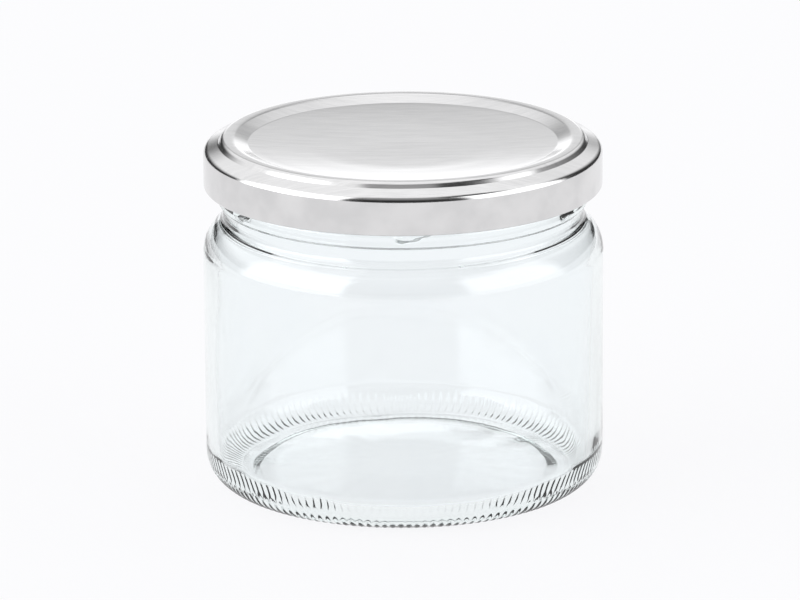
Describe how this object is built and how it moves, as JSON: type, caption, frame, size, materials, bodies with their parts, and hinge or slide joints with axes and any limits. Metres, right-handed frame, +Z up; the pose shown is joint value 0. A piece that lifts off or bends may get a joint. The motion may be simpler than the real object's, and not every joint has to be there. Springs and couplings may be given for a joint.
{
  "type": "preserving jar with twist-off lid",
  "caption": "Squat round clear glass preserving jar with ribbed heel, round shoulder and threaded neck, closed with a flat stepped twist-off metal lid.",
  "frame": {"origin": "centre of the bearing ring on which the jar stands, on the surface it stands on", "axes": "+Z up along the jar's axis; -Y is the front, +X the right-hand side"},
  "size_m": [0.0864, 0.0862, 0.0764],
  "materials": {
    "clear_glass": "clear pressed soda-lime glass with a faint grey-green tint in the thick base, smooth, slightly uneven inside",
    "tinplate": "satin lacquered tinplate with fine rolling lines and a few tiny marks"
  },
  "bodies": {
    "root": {"jar": "clear_glass", "lid": "tinplate"}
  },
  "joints": []
}
